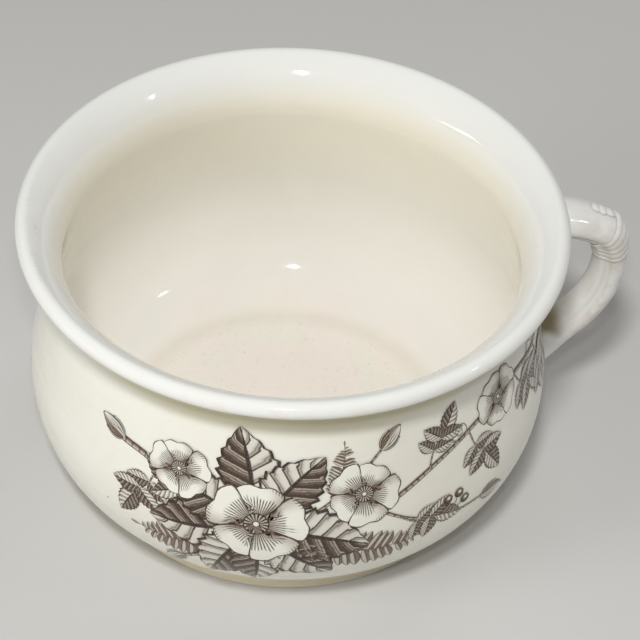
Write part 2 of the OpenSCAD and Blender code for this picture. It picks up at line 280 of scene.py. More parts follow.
def bodyProfile(p, c):
    # stretches of the profile from under the base, up the outside and down the inside
    steps = p["steps"]
    inner = p["footRadius"] - p["footWidth"]
    floorZ = p["footRecess"] + p["baseThick"]
    edge, top = p["footEdge"], p["footHeight"]
    recess = [(r, p["footRecess"]) for r in np.linspace(0, inner - p["footRecess"], p["recessPoints"])]
    foot = arcPoints((inner + edge, edge), edge, 180, 270, steps["footEdge"])
    foot += arcPoints((p["footRadius"] - edge, edge), edge, 270, 360, steps["footEdge"])
    foot += [(p["footRadius"], top * p["footRow"]), (p["footRadius"], top - p["ledgeBevel"]),
             (p["footRadius"] + p["ledgeStep"], top)]
    bowl = [(c["ledge"][0] - p["ledgeStep"], top)]
    bowl += arcPoints(c["bowl"], c["bowlR"], bearing(c["bowl"], c["ledge"]), 0, steps["bowl"])
    shoulder = arcPoints(c["shoulder"], p["shoulderRadius"], 0, c["turn"], steps["shoulder"])
    neck = arcPoints(c["neck"], p["neckCove"], 180 + c["turn"], c["under"], steps["neck"])
    lip = arcPoints(c["lip"], p["lipEdge"], c["under"] - 180, c["face"], steps["lip"])
    throat = arcPoints(c["flare"], p["flareRadius"], c["face"], 180 + c["innerTurn"], steps["throat"])
    wall = arcPoints(c["shoulder"], p["shoulderRadius"] - p["wall"], c["innerTurn"], 0, steps["wall"])
    heel = arcPoints((p["floorRadius"], p["bellyHeight"]), p["bellyRadius"] - p["wall"] - p["floorRadius"],
                     0, -90, steps["heel"], p["bellyHeight"] - floorZ)
    floor = [(r, floorZ) for r in np.linspace(p["floorRadius"], 0, p["floorPoints"])]
    return [
        ("base", recess), ("foot", foot), ("bowl", bowl),
        ("shoulder", shoulder[1:] + between(shoulder[-1], neck[0], steps["slope"])),
        ("neck", neck), ("lip", lip), ("throat", throat),
        ("wall", between(throat[-1], wall[0], steps["slope"]) + wall),
        ("heel", heel[1:]), ("floor", floor[1:]),
    ]


def spinBody(p, stretches):
    points = [q for _, stretch in stretches for q in stretch]
    start = (points[0][0] * mm, 0, points[0][1] * mm)
    deselectAll()
    bpy.ops.mesh.primitive_plane_add(size=p["seedSize"], location=start)
    piece = bpy.context.object
    piece.name = "pot_body"
    bpy.ops.object.transform_apply(location=True)
    setMode("EDIT")
    bpy.ops.mesh.select_mode(type="VERT")
    bpy.ops.mesh.select_all(action="SELECT")
    bpy.ops.mesh.merge(type="CENTER")
    for a, b in zip(points, points[1:]):  # draw the profile a point at a time
        bpy.ops.mesh.extrude_region_move(
            TRANSFORM_OT_translate={"value": ((b[0] - a[0]) * mm, 0, (b[1] - a[1]) * mm)})
    bpy.ops.mesh.select_all(action="SELECT")
    bpy.ops.mesh.spin(steps=p["spinSteps"], angle=math.tau, center=(0, 0, 0), axis=(0, 0, 1))
    bpy.ops.mesh.select_all(action="SELECT")
    bpy.ops.mesh.remove_doubles(threshold=p["mergeGap"])
    bpy.ops.mesh.normals_make_consistent(inside=False)
    setMode("OBJECT")
    bpy.ops.object.shade_smooth_by_angle(angle=math.radians(p["smoothAngle"]))
    return piece


def wallRuns(piece, stretches, lots=40):
    # marks each vertex with its distance along the profile, for stains that follow the turning
    ends, path = {}, []
    run, last = 0.0, stretches[0][1][0]
    for name, stretch in stretches:
        for q in stretch:
            run += math.dist(last, q)
            path.append((q[0], q[1], run))
            last = q
        ends[name] = run
    path = np.array(path)
    co = vertexSpots(piece.data) / mm
    flat = np.stack([np.hypot(co[:, 0], co[:, 1]), co[:, 2]], 1)
    nearest = [np.argmin(((lot[:, None, :] - path[None, :, :2]) ** 2).sum(2), 1)
               for lot in np.array_split(flat, lots)]
    markVertices(piece.data, "wallRun", path[np.concatenate(nearest), 2])
    return ends


bodyStain = dict(
    # painted shade and warm bounced light with staining, for the upper inside
    insideShadeAndStain=tint(238, 233, 216), insideShadeAndStainShare=(0.72, 0.45),
    lowWall=tint(239, 237, 229), lowWallShare=0.85,
    heel=tint(242, 239, 232), heelShare=(0.5, 0.6),
    blotchScale=17.0, blotchSpan=(0.5, 0.62), blotchShare=0.6,
    floorRose=tint(247, 237, 231), floorGreen=tint(242, 239, 229), floorShare=0.8, floorRough=0.06,
    patchScale=34.0, patchDetail=3, patchSpan=(0.4, 0.58),
    grain=tint(176, 164, 142), grainScale=620.0, grainDetail=3, grainGrit=0.7, grainSpan=(0.56, 0.78),
    grainFloor=0.8, grainWall=0.2, grainShare=0.35, grainHeight=0.05,
    # painted shade where the floor meets the wall
    floorRingShade=tint(222, 217, 202), ringShadeShare=0.42,
    lipWhite=tint(235, 235, 231), lipWhiteShare=0.9,
    lipTan=tint(226, 211, 184), lipTanSpan=(0.46, 0.7), lipTanShare=0.22,
    scuff=tint(168, 160, 148), scuffSide=(-0.107, -0.103), scuffSpan=(0.44, 0.6), scuffShare=0.6,
    scratchAlong=0.7, scratchLean=120, scratchAcross=520, scratchLine=(0.008, 0.022),
    footTan=tint(226, 210, 176), footShare=(0.45, 0.6), footRough=0.12,
    ledgeDark=tint(96, 78, 48), ledgeSpan=(0.75, 1.05), ledgeShare=0.85,
    biscuit=tint(214, 200, 172), standFace=(0.0006, 0.0014), standShare=0.9, standRough=0.45,
    turnStep=0.16, turnRow=0.3, turnHeight=0.3, turnInside=0.15,  # marks of the turning, as ripple
)
stainSpans = dict(  # from, to and softness in mm, from the ends of the profile's stretches
    lipTop=("lip", -6, "lip", -2), inside=("lip", 10, "throat", -6), lowWall=("throat", 8, "wall", -4),
    heel=("wall", -10, "heel", -26), blotch=("heel", -36, "heel", -10), floor=("heel", -13, "heel", 3),
    ring=("heel", -7, "heel", 1, 5), whiteStart=("neck", -2, "neck", 4), whiteEnd=("lip", 5, "lip", 27),
    lipTan=("neck", 1, "lip", -5, 1.5), scuff=("lip", -1, "lip", 8, 2.5),
    foot=("base", 10, "foot", 0, 0.8), ledge=("foot", -0.5, "foot", 0.9, 0.45),
    stand=("base", 2, "base", 9, 1),
)


def bodyFinish(ends):
    f = Finish("printed ivory glaze")
    s = bodyStain
    run = f.attribute("wallRun")

    def span(name):
        start, low, end, high, *soft = stainSpans[name]
        return ends[start] + low, ends[end] + high, *soft

    ground = glazeGround(f)
    where, cloud, mottle = ground["where"], ground["cloud"], ground["mottle"]
    x, y, z = f.split(where)
    colour = ivoryColour(f, ground, 1 - f.rise(run, *span("lipTop")))
    # the inside, from the throat to the floor: its upper band is painted shade and warm bounced light, with
    # some staining
    inside = f.rise(run, *span("inside"))
    colour = f.blend(colour, s["insideShadeAndStain"], inside * uneven(cloud, s["insideShadeAndStainShare"]))
    colour = f.blend(colour, s["lowWall"], f.rise(run, *span("lowWall")) * s["lowWallShare"])
    colour = f.blend(colour, s["heel"], f.rise(run, *span("heel")) * uneven(cloud, s["heelShare"]))
    blotch = f.rise(run, *span("blotch")) * f.rise(f.noise(where, s["blotchScale"]), *s["blotchSpan"])
    colour = f.blend(colour, s["floorRose"], blotch * s["blotchShare"])
    floor = f.rise(run, *span("floor"))
    patch = f.rise(f.noise(where, s["patchScale"], s["patchDetail"]), *s["patchSpan"])
    colour = f.blend(colour, f.blend(s["floorGreen"], s["floorRose"], patch), floor * s["floorShare"])
    grain = f.noise(where, s["grainScale"], s["grainDetail"], s["grainGrit"])
    grainy = (floor * s["grainFloor"] + inside * s["grainWall"]) * f.rise(grain, *s["grainSpan"])
    colour = f.blend(colour, s["grain"], grainy * s["grainShare"])
    # a ring of painted shade where the floor meets the wall
    colour = f.blend(colour, s["floorRingShade"], f.band(run, *span("ring")) * s["ringShadeShare"])
    # the lip: whiter glaze, a tan edge, and scratches on the side away from the handle
    white = f.rise(run, *span("whiteStart")) * (1 - f.rise(run, *span("whiteEnd")))
    colour = f.blend(colour, s["lipWhite"], white * s["lipWhiteShare"])
    edge = f.band(run, *span("lipTan")) * f.rise(mottle, *s["lipTanSpan"])
    colour = f.blend(colour, s["lipTan"], edge * s["lipTanShare"])
    streaks = f.noise(f.combine(run * s["scratchAlong"] + y * s["scratchLean"], y * s["scratchAcross"]), 1.0)
    hair = 1 - f.rise(abs(streaks - 0.5), *s["scratchLine"])
    scuff = f.band(run, *span("scuff")) * (1 - f.rise(x, *s["scuffSide"])) * hair
    colour = f.blend(colour, s["scuff"], scuff * f.rise(mottle, *s["scuffSpan"]) * s["scuffShare"])
    # the foot: a tan band, a dark line along the ledge over it, and bare clay where it stands
    band = f.band(run, *span("foot"))
    colour = f.blend(colour, s["footTan"], band * uneven(mottle, s["footShare"]))
    ledge = f.band(run, *span("ledge")) * f.rise(mottle + cloud, *s["ledgeSpan"])
    colour = f.blend(colour, s["ledgeDark"], ledge * s["ledgeShare"])
    stand = f.band(run, *span("stand")) * (1 - f.rise(z, *s["standFace"]))
    colour = f.blend(colour, s["biscuit"], stand * s["standShare"])
    roughness = ground["roughness"] + band * s["footRough"] + stand * s["standRough"]
    roughness = roughness + floor * s["floorRough"]
    turning = f.noise(f.combine(run * s["turnStep"], s["turnRow"]), 1.0)
    height = ground["height"] + turning * (s["turnHeight"] - inside * s["turnInside"])
    height = height + floor * grain * s["grainHeight"]
    return f.close(colour, roughness, height, glaze["rippleDepth"])


curves = bodyCurves(potBody)
stretches = bodyProfile(potBody, curves)
potPiece = spinBody(potBody, stretches)
runEnds = wallRuns(potPiece, stretches)
potPiece.data.materials.append(bodyFinish(runEnds))
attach(potPiece, "root")
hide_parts("body")
print("body spun:", len(potPiece.data.polygons), "faces")


# Handle and what is luted to it: smoothed copies of the CAD solids

handleSet = dict(
    mergeGap=0.000005, quadAngle=35.0, quadSkew=60.0, sharpAngle=52.0, crease=0.9, smoothLevels=1,
    hollowSteps=24, creamGrey=tint(236, 235, 231), slipTint=tint(236, 234, 227), shade=tint(220, 217, 212),
    cloudSpan=(0.4, 0.7), cloudShare=0.5, mottleSpan=(0.45, 0.75), mottleShare=0.2,
    # painted shade with pooled glaze, for the hollows and where pieces meet
    poolAndShade=tint(148, 143, 132), hollowSpan=(0.06, 0.4), hollowShare=0.45,  # mm deep
    meetingSpan=(0.2, 0.9), meetingShare=(0.12, 0.3),  # mm from the next piece
    worn=tint(212, 200, 187), crestSpan=(-0.28, -0.05), crestFrom=(0.114, 0.134), crestPatch=(0.36, 0.6),
    wornShare=0.6, rippleShare=0.5,
    # painted shadow of the lip with pooled glaze, on the lower arm
    oliveShadowAndPool=tint(128, 108, 60), oliveShadowBand=(0.0595, 0.078, 0.002), oliveShadowEnd=(0.117, 0.123),  # by the lower joint
    oliveShadowMottle=0.5, oliveShadowPatch=(0.4, 0.75), oliveShadowShare=0.8,
    pieces=[("handle", "pot_handle", "plain_glaze"), ("handle_collar", "pot_handle_collar", "plain_glaze"),
            ("handle_leaf", "pot_handle_leaf", "plain_glaze"),
            ("upper_slip_joint", "pot_upper_slip", "joint_glaze"),
            ("lower_slip_joint", "pot_lower_slip", "joint_glaze")],
)


def smoothCopy(node, name):
    s = handleSet
    makeActive(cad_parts[node])
    bpy.ops.object.duplicate()
    piece = bpy.context.object
    piece.name = name
    for key in [k for k in piece.keys() if k.startswith("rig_")]:
        del piece[key]
    piece.parent = None
    piece.data.materials.clear()
    bpy.ops.mesh.customdata_custom_splitnormals_clear()
    setMode("EDIT")
    bpy.ops.mesh.select_all(action="SELECT")
    bpy.ops.mesh.remove_doubles(threshold=s["mergeGap"])
    bpy.ops.mesh.tris_convert_to_quads(
        face_threshold=math.radians(s["quadAngle"]), shape_threshold=math.radians(s["quadSkew"]))
    bpy.ops.mesh.select_all(action="DESELECT")
    bpy.ops.mesh.select_mode(type="EDGE")
    bpy.ops.mesh.edges_select_sharp(sharpness=math.radians(s["sharpAngle"]))
    bpy.ops.transform.edge_crease(value=s["crease"])
    setMode("OBJECT")
    smooth = piece.modifiers.new("smooth", "SUBSURF")
    smooth.levels = s["smoothLevels"]
    smooth.render_levels = s["smoothLevels"]
    bpy.ops.object.modifier_apply(modifier="smooth")
    bpy.ops.object.shade_smooth()
    return piece


def markHollows(piece, others):
    # depth in mm below the smoothed surface, and distance in mm to the piece that it meets
    mesh = piece.data
    count = len(mesh.vertices)
    spots = vertexSpots(mesh)
    ends = np.empty(len(mesh.edges) * 2, dtype=np.int32)
    mesh.edges.foreach_get("vertices", ends)
    a, b = ends.reshape(-1, 2).T
    degree = np.bincount(a, minlength=count) + np.bincount(b, minlength=count)
    eased = spots.copy()
    for _ in range(handleSet["hollowSteps"]):  # each step goes half way to the neighbours' mean
        near = [np.bincount(a, eased[b, k], count) + np.bincount(b, eased[a, k], count) for k in range(3)]
        eased = 0.5 * eased + 0.5 * np.stack(near, 1) / degree[:, None]
    depth = ((eased - spots) * vertexSpots(mesh, "normal")).sum(1) / mm
    tree = KDTree(sum(len(o.data.vertices) for o in others))
    for slot, v in enumerate(v for o in others for v in o.data.vertices):
        tree.insert(v.co, slot)
    tree.balance()
    gap = np.array([tree.find(v.co)[2] for v in mesh.vertices]) / mm
    markVertices(mesh, "hollow", depth)
    markVertices(mesh, "meeting", gap)
    print(piece.name, "deepest hollow", depth.max().round(2), "mm")


def handleFinish(name, base):
    f = Finish(name)
    s = handleSet
    ground = glazeGround(f)
    cloud, mottle = ground["cloud"], ground["mottle"]
    x, _, z = f.split(ground["where"])
    hollow = f.attribute("hollow")
    colour = f.blend(base, s["shade"], clouded(f, ground, s))
    # painted shade with pooled glaze: darker in the hollows and where the piece meets the next
    joint = 1 - f.rise(f.attribute("meeting"), *s["meetingSpan"])
    joint = joint * uneven(mottle, s["meetingShare"])
    colour = f.blend(colour, s["poolAndShade"], (f.rise(hollow, *s["hollowSpan"]) * s["hollowShare"]).most(joint))
    crest = (1 - f.rise(hollow, *s["crestSpan"])) * f.rise(x, *s["crestFrom"])
    colour = f.blend(colour, s["worn"], crest * f.rise(mottle, *s["crestPatch"]) * s["wornShare"])
    # painted shadow of the lip with pooled glaze: an olive patch on the lower arm by the body
    low = f.band(z, *s["oliveShadowBand"]) * (1 - f.rise(x, *s["oliveShadowEnd"]))
    low = low * f.rise(cloud + mottle * s["oliveShadowMottle"], *s["oliveShadowPatch"])
    colour = f.blend(colour, s["oliveShadowAndPool"], low * s["oliveShadowShare"])
    return f.close(colour, ground["roughness"], ground["height"], glaze["rippleDepth"] * s["rippleShare"])


plainGlaze = handleFinish("greyed handle glaze", handleSet["creamGrey"])
slipGlaze = handleFinish("glaze over slip", handleSet["slipTint"])
handlePieces = [smoothCopy(nodeName, pieceName) for nodeName, pieceName, _ in handleSet["pieces"]]
for copied, (nodeName, _, slotName) in zip(handlePieces, handleSet["pieces"]):
    markHollows(copied, [o for o in handlePieces if o is not copied])
    copied.data.materials.append(slipGlaze if slotName == "joint_glaze" else plainGlaze)
    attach(copied, "root")
    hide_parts(nodeName)
print("handle pieces smoothed:", len(handlePieces))


# Print: a sepia spray of dog-roses and fern, laid on the wall in thin closed layers

spray = dict(
    faceAngle=-102.0, lift=0.06, layerStep=0.012, thick=0.03, smoothAngle=40.0,  # mm and degrees
    line=tint(42, 25, 14), lineShare=(0.72, 0.5), wash=tint(120, 94, 72), washShare=(0.75, 0.5),
    gritScale=1500.0, stemStep=1.6, twigStep=0.9, stemLeast=4, curveSteps=24, inkUnit=10,
    pickReach=0.3,  # of a cell, where vertices are picked by place
)
leafShape = dict(across=8, along=32, teeth=8, toothRoot=0.86, tooth=0.2, wide=0.66, least=0.02,
                 lean=0.82, span=0.985, start=0.015, blunt=0.85)
pinnaShape = dict(across=4, along=8, wide=0.42, least=0.03, span=0.9, start=0.09, blunt=0.7,
                  taper=(1.0, 0.0))
budShape = dict(across=6, along=12, wide=0.6, least=0.05, span=0.93, start=0.05, blunt=0.75,
                taper=(1.1, -0.35))
petalShape = dict(across=10, along=10, corner=0.26, cornerPower=2.4, notch=0.11, notchWide=0.16,
                  foot=0.13, spread=0.95, fill=1.12, flare=1.25)
discShape = dict(vertices=24, radius=0.5)


def newGrid(name, m):
    deselectAll()
    bpy.ops.mesh.primitive_grid_add(x_subdivisions=m["across"], y_subdivisions=m["along"], size=1)
    motif = bpy.context.object
    motif.name = name
    motif.data.uv_layers[0].name = "ink"
    setMode("EDIT")
    bpy.ops.mesh.select_mode(type="VERT")
    bpy.ops.transform.translate(value=(0, 0.5, 0))  # its foot at the origin
    return motif


def pickWhere(motif, wanted):
    mesh = bmesh.from_edit_mesh(motif.data)
    for v in mesh.verts:
        v.select_set(bool(wanted(v.co)))
    mesh.select_flush_mode()
    bmesh.update_edit_mesh(motif.data)


def bladeMotif(name, m, widthAt):
    motif = newGrid(name, m)
    reach = spray["pickReach"] / m["along"]
    for row in range(m["along"] + 1):
        y = row / m["along"]
        pickWhere(motif, lambda co: abs(co.y - y) < reach)
        bpy.ops.transform.resize(value=(widthAt(m, y), 1, 1), center_override=(0, y, 0))
    setMode("OBJECT")
    return motif


def toothedWidth(m, t):
    tooth = (t * m["teeth"]) % 1.0
    body = math.sin(math.pi * min(1, t ** m["lean"] * m["span"] + m["start"])) ** m["blunt"]
    return m["wide"] * max(m["least"], body) * (m["toothRoot"] + m["tooth"] * tooth)


def plainWidth(m, t):
    body = m["wide"] * math.sin(math.pi * (t * m["span"] + m["start"])) ** m["blunt"]
    return max(m["least"], body * uneven(t, m["taper"]))


def petalMotif(m):
    across, along = m["across"], m["along"]
    reachX, reachY = spray["pickReach"] / across, spray["pickReach"] / along
    motif = newGrid("petal_motif", m)
    columns = [i / across - 0.5 for i in range(across + 1)]
    for row in range(along + 1):
        t = row / along
        wide = m["foot"] + m["spread"] * math.sin(0.5 * math.pi * min(1, t * m["fill"])) ** m["flare"]
        for x in columns:  # round the rim and notch its middle
            pickWhere(motif, lambda co: abs(co.x - x) < reachX and abs(co.y - t) < reachY)
            corner = m["corner"] * t ** 3 * abs(2 * x) ** m["cornerPower"]
            notch = m["notch"] * t ** 5 * math.exp(-(x / m["notchWide"]) ** 2)
            bpy.ops.transform.translate(value=(x * (wide - 1), -(corner + notch), 0))
    setMode("OBJECT")
    return motif


def discMotif(m):
    deselectAll()
    bpy.ops.mesh.primitive_circle_add(vertices=m["vertices"], radius=m["radius"], fill_type="TRIFAN")
    motif = bpy.context.object
    motif.name = "disc_motif"
    motif.data.uv_layers[0].name = "ink"
    return motif


def direction(angle):
    return np.array([math.cos(math.radians(angle)), math.sin(math.radians(angle))])


def moveInk(mesh, scale, shift):  # scales and shifts the map that the ink is drawn on
    ink = mesh.uv_layers["ink"].data
    uv = np.empty(len(mesh.loops) * 2)
    ink.foreach_get("uv", uv)
    ink.foreach_set("uv", (uv.reshape(-1, 2) * scale + shift).ravel())


def smoothPath(points, step):
    # even points along a curve through the given ones
    p = np.array([points[0], *points, points[-1]], float)
    p[0] = 2 * p[1] - p[2]
    p[-1] = 2 * p[-2] - p[-3]
    t = np.linspace(0, 1, spray["curveSteps"], endpoint=False)[:, None]
    dense = []
    for a, b, c, d in zip(p, p[1:], p[2:], p[3:]):
        square, cube = 2 * a - 5 * b + 4 * c - d, 3 * b - a - 3 * c + d
        dense.append(0.5 * (2 * b + (c - a) * t + square * t ** 2 + cube * t ** 3))
    dense = np.concatenate(dense + [p[-2:-1]])
    runs = np.concatenate([[0], np.cumsum(np.linalg.norm(np.diff(dense, axis=0), axis=1))])
    even = np.linspace(0, runs[-1], max(spray["stemLeast"], int(runs[-1] / step)) + 1)
    return np.stack([np.interp(even, runs, dense[:, k]) for k in (0, 1)], 1)


def onWall(flat, lift):
    # from the flat drawing, right and up in mm, to the outside of the body
    across, rise = flat[:, 0], flat[:, 1]
    turn = math.radians(spray["faceAngle"]) + across / potBody["bellyRadius"]
    radius = np.where(rise >= 0, potBody["shoulderRadius"], curves["bowlR"])
    centre = np.where(rise >= 0, curves["shoulder"][0], curves["bowl"][0])
    a = np.minimum(rise / radius, math.radians(curves["turn"]))
    slope = np.maximum(0, rise - radius * a)  # past the shoulder's arc the wall is straight
    out = centre + (radius + lift) * np.cos(a) - slope * np.sin(a)
    tall = potBody["bellyHeight"] + (radius + lift) * np.sin(a) + slope * np.cos(a)
    return np.stack([out * np.cos(turn), out * np.sin(turn), tall], 1) * mm


class Drawing:  # motifs set out on the flat, in layers
    def __init__(self, motifs):
        self.motifs = motifs
        self.laid = []

    def layerFor(self, low, high):
        layer = 0
        for other in self.laid:
            if (low < other["high"]).all() and (high > other["low"]).all():
                layer = max(layer, other["layer"] + 1)
        return layer

    def keep(self, kind, mesh, flat):
        low, high = flat.min(0), flat.max(0)
        layer = self.layerFor(low, high)
        self.laid.append(dict(kind=kind, mesh=mesh, flat=flat, low=low, high=high, layer=layer))

    def put(self, kind, at, angle, length, bend=0.0, wide=1.0, flip=False):
        mesh = self.motifs[kind].data.copy()
        x, y, _ = vertexSpots(mesh).T
        x = x * wide + bend * y * y
        ahead = direction(angle)
        side = np.array([ahead[1], -ahead[0]])
        if flip:
            moveInk(mesh, (-1, 1), (1, 0))
        self.keep(kind, mesh, at + length * (x[:, None] * side + y[:, None] * ahead))

    def stem(self, points, start, end, step=spray["stemStep"]):
        path = smoothPath(points, step)
        count = len(path) - 1
        deselectAll()
        bpy.ops.mesh.primitive_grid_add(x_subdivisions=2, y_subdivisions=count, size=1)
        grid = bpy.context.object
        grid.data.uv_layers[0].name = "ink"
        mesh = grid.data.copy()
        bpy.data.objects.remove(grid)
        co = vertexSpots(mesh)
        row = np.rint((co[:, 1] + 0.5) * count).astype(int)
        way = np.gradient(path, axis=0)
        way /= np.linalg.norm(way, axis=1)[:, None]
        side = np.stack([way[:, 1], -way[:, 0]], 1)
        wide = np.interp(row, [0, count], [start, end])
        moveInk(mesh, (1, count * spray["stemStep"] / spray["inkUnit"]), (0, 0))
        self.keep("stem", mesh, path[row] + side[row] * (co[:, 0] * wide)[:, None])
        return path, way

    def lay(self, kind, name, finish):
        parts = []
        for part in self.laid:
            if part["kind"] != kind:
                continue
            spots = onWall(part["flat"], spray["lift"] + spray["layerStep"] * part["layer"])
            part["mesh"].vertices.foreach_set("co", spots.astype(np.float32).ravel())
            part["mesh"].update()
            piece = bpy.data.objects.new(name, part["mesh"])
            scene.collection.objects.link(piece)
            parts.append(piece)
        makeActive(parts[0])
        for piece in parts:
            piece.select_set(True)
        bpy.ops.object.join()
        piece = bpy.context.object
        piece.name = name
        skin = piece.modifiers.new("skin", "SOLIDIFY")
        skin.thickness = spray["thick"] * mm
        skin.offset = -1
        bpy.ops.object.modifier_apply(modifier="skin")
        bpy.ops.object.shade_smooth_by_angle(angle=math.radians(spray["smoothAngle"]))
        piece.data.materials.clear()
        piece.data.materials.append(finish)
        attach(piece, "root")
        return piece


# Ink of each motif: a wash and lines

def inkFinish(name, draw):
    f = Finish(name)
    ground = glazeGround(f)
    u, v, _ = f.split(f.add("ShaderNodeUVMap", {"uv_map": "ink"}).outputs[0])
    grit = f.noise(ground["where"], spray["gritScale"])
    wash, lines = draw(f, u, v, ground["where"])
    colour = ivoryColour(f, ground)
    colour = f.blend(colour, spray["wash"], wash * uneven(grit, spray["washShare"]))
    colour = f.blend(colour, spray["line"], lines * uneven(grit, spray["lineShare"]))
    return f.close(colour, ground["roughness"], ground["height"], glaze["rippleDepth"])


def fromMiddle(u):  # 0 on the midrib, 1 at both edges
    return abs(u * 2 - 1)


def fromPoint(u, v, point):  # 1 at the edge of a disc, if the point is its centre
    x, y = u - point[0], v - point[1]
    return (x * x + y * y) ** 0.5 * 2


leafInk = dict(
    half=(0.46, 0.54), edge=(0.82, 0.91), rib=(0.05, 0.1),
    veins=6.5, veinLean=1.25, veinLine=(0.05, 0.05), veinShare=0.9,
    darkWash=(0.55, 0.6), paleWash=(0.22, 0.45), paleSpan=(0.1, 0.6), deepSpan=(0.15, 0.75), deepShare=0.8,
    hatches=26, hatchLean=5, hatchLine=(0.16, 0.14), hatchFrom=(0.3, 0.8), hatchShare=0.75,
)


def drawLeaf(f, u, v, where):
    s = leafInk
    across = fromMiddle(u)
    dark = 1 - f.rise(u, *s["half"])
    veins = v * s["veins"] - across * s["veinLean"]
    panel = veins.fract()
    pale = (1 - dark) * uneven(1 - f.rise(panel, *s["paleSpan"]), s["paleWash"])
    shade = dark * uneven(1 - panel, s["darkWash"]) + pale
    deep = dark * (1 - f.rise(panel, *s["deepSpan"]))
    hatch = f.line(v * s["hatches"] - across * s["hatchLean"], *s["hatchLine"])
    lines = f.rise(across, *s["edge"]).most(1 - f.rise(across, *s["rib"]))
    lines = lines.most(f.line(veins, *s["veinLine"]) * s["veinShare"])
    lines = lines.most(hatch * f.rise(shade, *s["hatchFrom"]) * s["hatchShare"])
    return shade, lines.most(deep * s["deepShare"])


pinnaInk = dict(half=(0.4, 0.6), wash=(0.4, 0.6), edge=(0.7, 0.9), rib=(0.08, 0.2), lineShare=0.85)


def drawPinna(f, u, v, where):
    s = pinnaInk
    across = fromMiddle(u)
    lines = f.rise(across, *s["edge"]).most(1 - f.rise(across, *s["rib"]))
    return uneven(1 - f.rise(u, *s["half"]), s["wash"]), lines * s["lineShare"]


petalInk = dict(
    swayScale=190.0, swayDetail=1, edge=(0.9, 0.96), top=(0.945, 0.975),
    rays=13, raySway=0.4, rayLine=(0.13, 0.15), rayReach=(0.3, 0.5), rayMiddle=0.1, rayEnd=(-0.12, 0.05),
    rayShare=0.9, rims=17, rimSway=0.5, rimLine=(0.12, 0.16), rimLift=0.3, rimFrom=(0.68, 0.76),
    rimSide=(0.5, 0.8), rimShare=0.75, heart=(0.05, 0.6), heartShare=0.85, fold=(0.62, 1.0), foldShare=0.5,
)


def drawPetal(f, u, v, where):
    s = petalInk
    across = fromMiddle(u)
    sway = f.noise(where, s["swayScale"], s["swayDetail"])
    edge = f.rise(across, *s["edge"]).most(f.rise(v, *s["top"]))
    reach = uneven(sway, s["rayReach"]) + (1 - across) * s["rayMiddle"]
    rays = f.line(u * s["rays"] + sway * s["raySway"], *s["rayLine"]) * (1 - f.rise(v - reach, *s["rayEnd"]))
    rim = f.line(u * s["rims"] + sway * s["rimSway"], *s["rimLine"])
    rim = rim * f.rise(v - sway * s["rimLift"], *s["rimFrom"]) * f.rise(u, *s["rimSide"])
    hollow = (1 - f.rise(v, *s["heart"])) * s["heartShare"] + f.rise(u, *s["fold"]) * s["foldShare"]
    return hollow, edge.most(rays * s["rayShare"]).most(rim * s["rimShare"])


eyeInk = dict(hairs=17, hairLine=(0.2, 0.1), hairFrom=(0.28, 0.34), ring=(0.22, 0.32, 0.03),
              edge=(0.86, 0.94), wash=(0.0, 0.4), washShare=0.6)


def drawEye(f, u, v, where):
    s = eyeInk
    out = fromPoint(u, v, (0.5, 0.5))
    turn = f.number("ShaderNodeMath", {"operation": "ARCTAN2"}, {0: v - 0.5, 1: u - 0.5})
    hairs = f.line(turn * (s["hairs"] / math.tau), *s["hairLine"]) * f.rise(out, *s["hairFrom"])
    lines = hairs.most(f.band(out, *s["ring"])).most(f.rise(out, *s["edge"]))
    return f.rise(out, *s["wash"]) * s["washShare"], lines


stemInk = dict(half=(0.2, 0.7), wash=(0.5, 0.6), edge=(0.62, 0.85),
               knotScale=160.0, knots=3, knotLine=(0.08, 0.1), knotShare=0.7)


def drawStem(f, u, v, where):
    s = stemInk
    knots = f.line(v * s["knots"] + f.noise(where, s["knotScale"]), *s["knotLine"])
    lines = f.rise(fromMiddle(u), *s["edge"]).most(knots * s["knotShare"])
    return uneven(1 - f.rise(u, *s["half"]), s["wash"]), lines


budInk = dict(half=(0.25, 0.6), wash=(0.2, 0.65), edge=(0.78, 0.9), top=(0.93, 0.98),
              rays=6, rayStart=0.5, rayLine=(0.12, 0.14), rayEnd=(0.55, 0.85), rayShare=0.8)


def drawBud(f, u, v, where):
    s = budInk
    rays = f.line(u * s["rays"] + s["rayStart"], *s["rayLine"]) * (1 - f.rise(v, *s["rayEnd"]))
    lines = f.rise(fromMiddle(u), *s["edge"]).most(rays * s["rayShare"]).most(f.rise(v, *s["top"]))
    return uneven(1 - f.rise(u, *s["half"]), s["wash"]), lines


berryInk = dict(gleam=(0.42, 0.6), wash=(0.12, 0.5), shade=(0.45, 0.95), edge=(0.84, 0.93))


def drawBerry(f, u, v, where):
    s = berryInk
    out = fromPoint(u, v, s["gleam"])
    lines = f.rise(out, *s["shade"]).most(f.rise(fromPoint(u, v, (0.5, 0.5)), *s["edge"]))
    return f.rise(out, *s["wash"]), lines


# Sprays of the print, in mm on the flat and degrees

roseLeafSet = dict(
    stalk=(0.9, 0.6), midAt=0.32, midTurn=0.5, tipAt=0.6, endTurn=1.3, endSize=0.52, endBend=0.004,
    midSize=0.36, pairAt=0.86, pairSize=0.42, pairTurn=0.6, pairAngle=62, pairBend=-0.12, pairWide=1.05,
)


def roseLeaf(d, at, angle, length, curl):
    # a stalk with one end leaflet and two pairs
    s = roseLeafSet
    mid = at + direction(angle + curl * s["midTurn"]) * length * s["midAt"]
    tip = at + direction(angle + curl) * length * s["tipAt"]
    d.stem([at, mid, tip], *s["stalk"])
    d.put("leaf", tip, angle + curl * s["endTurn"], length * s["endSize"], curl * s["endBend"])
    for spot, size in ((mid, s["midSize"]), (at + (tip - at) * s["pairAt"], s["pairSize"])):
        for side in (-1, 1):
            heading = angle + curl * s["pairTurn"] + side * s["pairAngle"]
            d.put("leaf", spot, heading, length * size, s["pairBend"] * side, s["pairWide"], side > 0)


